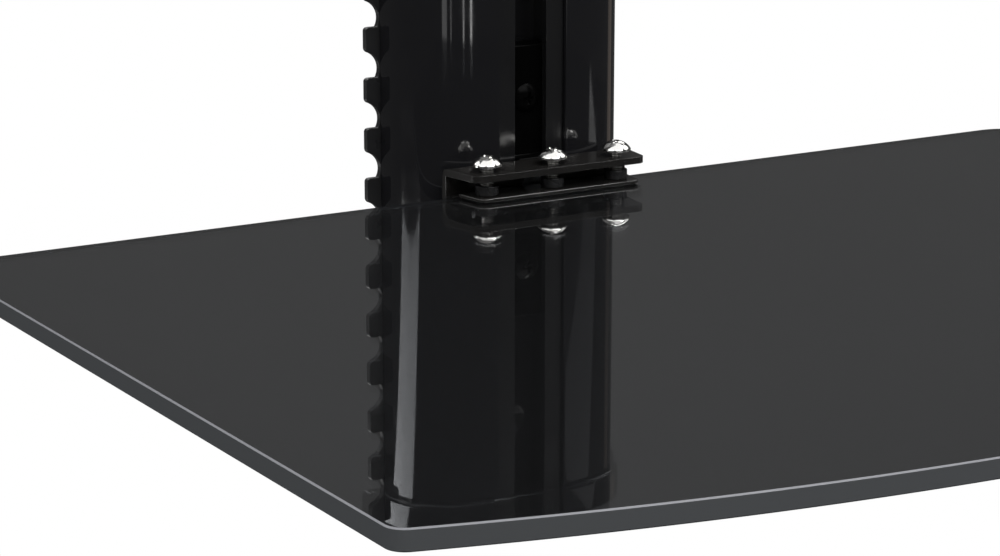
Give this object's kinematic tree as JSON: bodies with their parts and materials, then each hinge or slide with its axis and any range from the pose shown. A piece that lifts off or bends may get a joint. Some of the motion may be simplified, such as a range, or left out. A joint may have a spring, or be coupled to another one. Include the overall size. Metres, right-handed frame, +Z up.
{
  "type": "floating tv shelf",
  "caption": "Floating shelf for media boxes: a bow-front tinted glass plate clamped to a bracket that slides on a slotted, curved wall column with notched edges.",
  "frame": {"origin": "on the wall plane, in the middle of the column's width and at half the column's height, which is the centre of the outer pair of wall holes", "axes": "+X to the right seen from the room, +Y into the wall, +Z up"},
  "size_m": [0.38, 0.3097, 0.299],
  "materials": {
    "plate_black": "satin black powder coat on steel",
    "rail_black": "black anodised aluminium extrusion",
    "gloss_black": "glossy black moulded or extruded plastic",
    "bar_black": "black oxide steel",
    "bracket_black": "satin black coated steel sheet",
    "chrome": "bright nickel or chrome plated steel",
    "zinc": "zinc plated steel",
    "rubber": "black rubber",
    "black_nylon": "black nylon",
    "tinted_glass": "grey tinted tempered glass with polished edges"
  },
  "bodies": {
    "column": {"wall_plate": "plate_black", "rail": "rail_black", "rail_screws": "zinc", "left_cover": "gloss_black", "right_cover": "gloss_black", "cover_screws": "zinc", "top_cap": "gloss_black", "bottom_cap": "gloss_black", "top_cap_screws": "zinc", "bottom_cap_screws": "zinc"},
    "carriage": {"slide_bar": "bar_black", "shelf_bracket": "bracket_black", "bracket_bolt": "zinc", "locating_pins": "zinc", "lower_pad": "rubber", "edge_buffer": "rubber", "glass_shelf": "tinted_glass"},
    "clamp": {"pressure_plate": "bracket_black", "upper_pad": "rubber", "thrust_cup_left": "black_nylon", "thrust_cup_middle": "black_nylon", "thrust_cup_right": "black_nylon"},
    "clamp_screw_left": {"clamp_screw_left": "chrome"},
    "clamp_screw_middle": {"clamp_screw_middle": "chrome"},
    "clamp_screw_right": {"clamp_screw_right": "chrome"},
    "lock_screw_upper": {"lock_screw_upper": "bar_black"},
    "lock_screw_lower": {"lock_screw_lower": "bar_black"}
  },
  "joints": [
    {"name": "shelf_height", "type": "slide", "parent": "column", "child": "carriage", "axis": [0, 0, 1], "range_m": [-0.065, 0.14]},
    {"name": "clamp_travel", "type": "slide", "parent": "carriage", "child": "clamp", "axis": [0, 0, 1], "range_m": [0, 0.001]},
    {"name": "screw_turn_middle", "type": "hinge", "parent": "clamp", "child": "clamp_screw_middle", "pos_m": [0, -0.03807, -0.03], "axis": [0, 0, 1], "range_deg": [0, 515]},
    {"name": "screw_turn_left", "type": "hinge", "parent": "clamp", "child": "clamp_screw_left", "pos_m": [-0.0228, -0.03807, -0.03], "axis": [0, 0, 1], "range_deg": [0, 515]},
    {"name": "screw_turn_right", "type": "hinge", "parent": "clamp", "child": "clamp_screw_right", "pos_m": [0.0228, -0.03807, -0.03], "axis": [0, 0, 1], "range_deg": [0, 515]},
    {"name": "lock_turn_upper", "type": "hinge", "parent": "carriage", "child": "lock_screw_upper", "pos_m": [0, -0.018, -0.01175], "axis": [0, -1, 0], "range_deg": [0, 360]},
    {"name": "lock_turn_lower", "type": "hinge", "parent": "carriage", "child": "lock_screw_lower", "pos_m": [0, -0.018, -0.06375], "axis": [0, -1, 0], "range_deg": [0, 360]}
  ],
  "couplings": [
    {"joint": "screw_turn_middle", "follows": "clamp_travel", "rad_per_m": 8976},
    {"joint": "screw_turn_left", "follows": "clamp_travel", "rad_per_m": 8976},
    {"joint": "screw_turn_right", "follows": "clamp_travel", "rad_per_m": 8976}
  ]
}
